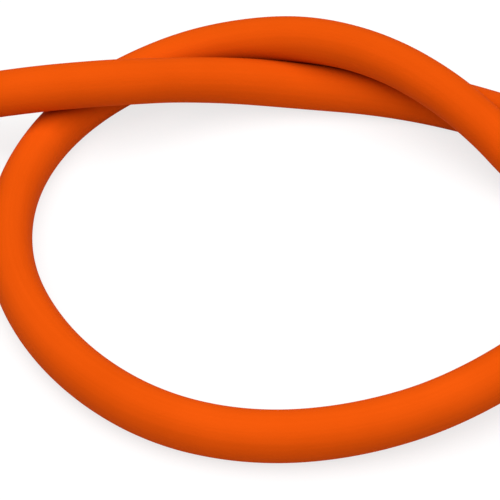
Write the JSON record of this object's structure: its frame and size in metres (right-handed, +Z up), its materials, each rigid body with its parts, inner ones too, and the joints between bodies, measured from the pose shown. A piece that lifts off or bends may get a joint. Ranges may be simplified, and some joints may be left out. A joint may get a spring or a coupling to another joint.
{
  "type": "rubber gas tubing",
  "caption": "Length of soft orange rubber gas tubing with a round bore, open at its cut ends and lying in a loose overhand knot, for joining a burner to a gas tap.",
  "frame": {"origin": "middle of the whole lay's footprint, on the table that the tube lies on", "axes": "+X from the left end towards the knot, +Y away from the picture's viewer, +Z up"},
  "size_m": [0.2718, 0.1443, 0.025],
  "materials": {
    "orange_rubber": "smooth extruded rubber, satin, orange right through"
  },
  "bodies": {
    "root": {"gas_tube": "orange_rubber"}
  },
  "joints": []
}
